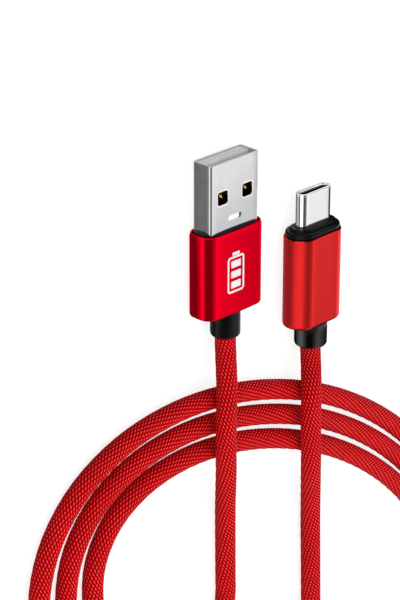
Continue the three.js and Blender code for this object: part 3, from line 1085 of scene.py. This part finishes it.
def banded_turn(nodes, split, stops):
    """Brightness by the turn round the Y axis, in degrees."""
    turn = nodes.math("ARCTAN2", split.outputs["X"], split.outputs["Z"])
    return banded(nodes, turn, stops, math.radians(1))


def make_world():
    """Mirrors see the bands, matt surfaces a soft key light, and the camera plain white."""
    world = bpy.data.worlds.new("studio")
    world.use_nodes = True
    nodes = Nodes(world.node_tree)

    def mix(factor, a, b):
        inputs = {"Factor": factor, "A": a, "B": b}
        return nodes.add("ShaderNodeMix", inputs, data_type="RGBA").outputs["Result"]

    direction = nodes.add("ShaderNodeTexCoord").outputs["Generated"]
    split = nodes.add("ShaderNodeSeparateXYZ", {0: direction})
    ahead = nodes.share(split.outputs["Y"], *FRONT_GLOW_FADE)
    mirrored = mix(ahead, banded_turn(nodes, split, STUDIO_BANDS), FRONT_GLOW)
    key = Vector(KEY_DIRECTION).normalized()
    facing = nodes.add("ShaderNodeVectorMath", {0: direction, 1: key}, operation="DOT_PRODUCT")
    keyed = nodes.math("MULTIPLY", facing.outputs["Value"], KEY_LIGHT)
    soft = nodes.math("ADD", keyed, SOFT_LIGHT)
    path = nodes.add("ShaderNodeLightPath")
    matt = mix(path.outputs["Is Camera Ray"], soft, (1.0, 1.0, 1.0))
    colour = mix(path.outputs["Is Glossy Ray"], matt, mirrored)
    background = world.node_tree.nodes["Background"]
    nodes.put(background.inputs["Color"], colour)
    bpy.context.scene.world = world


# Bent cards round the USB-C plug, which glossy surfaces alone see. Each stop is a turn round
# the card's own middle, measured as for the studio.
HOUSING_CARD = [
    (-178, 0.5), (-150, 0.4), (-116, 0.36), (-96, 0.42), (-80, 0.85), (-66, 1.0), (-54, 1.08),
    (-40, 1.0), (-26, 0.55), (-8, 0.32), (6, 0.46), (20, 0.85),
]
RELIEF_CARD = [
    (-178, 0.0), (-150, 0.01), (-130, 0.65), (-109, 1.9), (-96, 1.6), (-80, 0.45), (-66, 0.0),
    (-44, 0.0), (-36, 0.05), (-24, 0.45), (-10, 1.05), (3, 1.05), (19, 0.6), (36, 0.25),
    (56, 0.05), (178, 0.02),
]
SHELL_CARD = [
    (-178, 0.03), (-160, 0.06), (-150, 0.42), (-104, 0.42), (-96, 0.06), (-84, 0.06), (-78, 1.3),
    (-36, 1.3), (-28, 0.05), (10, 0.12), (26, 0.3), (36, 1.0),
]
PLUG_CARD_ACROSS = -2.95  # the middle of the plug's left rounding, from the plug's own middle
CARD_RADIUS = 7.8
CARD_SPANS = 40  # that a bent card's arc is split into

# Each with its stops, its middle across from the plug's, and its ends along the plug from the
# housing's rear face.
BENT_CARDS = {
    "relief_card": (RELIEF_CARD, 0.0, (-12.0, -3.5)),
    "housing_card": (HOUSING_CARD, PLUG_CARD_ACROSS, (-3.5, 16.5)),
    "shell_card": (SHELL_CARD, PLUG_CARD_ACROSS, (16.5, 29.0)),
}
# Each with its brightness, its two edges across from the plug's middle and over the floor, and
# its ends.
FLAT_CARDS = {
    "edge_card": (1.15, ((9.0, 1.0), (9.0, 9.8)), (-3.5, 16.5)),
    "right_card": (0.04, ((9.0, -4.0), (9.0, 9.4)), (17.0, 26.0)),
    "rim_card": (0.04, ((-7.0, 11.0), (23.0, 11.0)), (23.6, 29.0)),
}
A_SHELL_CARD_EDGES = ((36.0, 56.6), (66.0, 56.6))
A_SHELL_CARD_ENDS = (-15.6, 7.2)
A_SHELL_CARD_STOPS = [(-15.3, 0.74), (-2.6, 1.16)]  # along the plug, from the housing's rear face


def add_card(name, middle, edges, ends, shade):
    """A card along Y that glossy surfaces alone see.

    middle is its (x, z), and edges are points round that. shade gives its brightness, from its
    nodes and from the coordinates of a point on it.
    """
    nodes = Surface(name)
    split = nodes.add("ShaderNodeSeparateXYZ", {"Vector": nodes.position()})
    nodes.set(
        Base_Color=(0.0, 0.0, 0.0),
        Specular_IOR_Level=0.0,
        Emission_Strength=1.0,
        Emission_Color=shade(nodes, split),
    )
    nodes.material.cycles.emission_sampling = "NONE"
    verts = [(x * MM, y * MM, z * MM) for y in ends for x, z in edges]
    count = len(edges)
    faces = [(i, i + 1, i + 1 + count, i + count) for i in range(count - 1)]
    mesh = bpy.data.meshes.new(name)
    mesh.from_pydata(verts, [], faces)
    mesh.materials.append(nodes.material)
    card = link_object(name, mesh)
    card.location = (middle[0] * MM, 0.0, middle[1] * MM)
    for kind in ("camera", "diffuse", "shadow", "transmission"):
        setattr(card, f"visible_{kind}", False)


def card_arc(stops):
    """Points of a bent card that spans the turns of its stops."""
    first, last = stops[0][0], stops[-1][0]
    turns = [first + (last - first) * i / CARD_SPANS for i in range(CARD_SPANS + 1)]
    return [
        (CARD_RADIUS * math.sin(math.radians(turn)), CARD_RADIUS * math.cos(math.radians(turn)))
        for turn in turns
    ]


def make_cards():
    across, rear, _ = plug_place("usb_c_housing")
    for name, (stops, shift, (near, far)) in BENT_CARDS.items():
        add_card(
            name, (across + shift, AXIS_HEIGHT), card_arc(stops), (rear + near, rear + far),
            lambda nodes, split, stops=stops: banded_turn(nodes, split, stops),
        )
    for name, (brightness, edges, (near, far)) in FLAT_CARDS.items():
        add_card(
            name, (across, 0.0), edges, (rear + near, rear + far),
            lambda nodes, split, brightness=brightness: (brightness,) * 3,
        )
    across, rear, _ = plug_place("usb_a_housing")
    near, far = A_SHELL_CARD_ENDS
    stops = [(rear + along, brightness) for along, brightness in A_SHELL_CARD_STOPS]
    add_card(
        "a_shell_card", (across, 0.0), A_SHELL_CARD_EDGES, (rear + near, rear + far),
        lambda nodes, split: banded(nodes, split.outputs["Y"], stops, MM),
    )


# ------------------------------------------------------------------ build

bpy.context.scene.view_settings.view_transform = "Standard"
materials = make_materials()
make_camera()
make_cord()
make_usb_a()
make_usb_c()
dress_kept_nodes()
make_floor()
make_world()
make_cards()
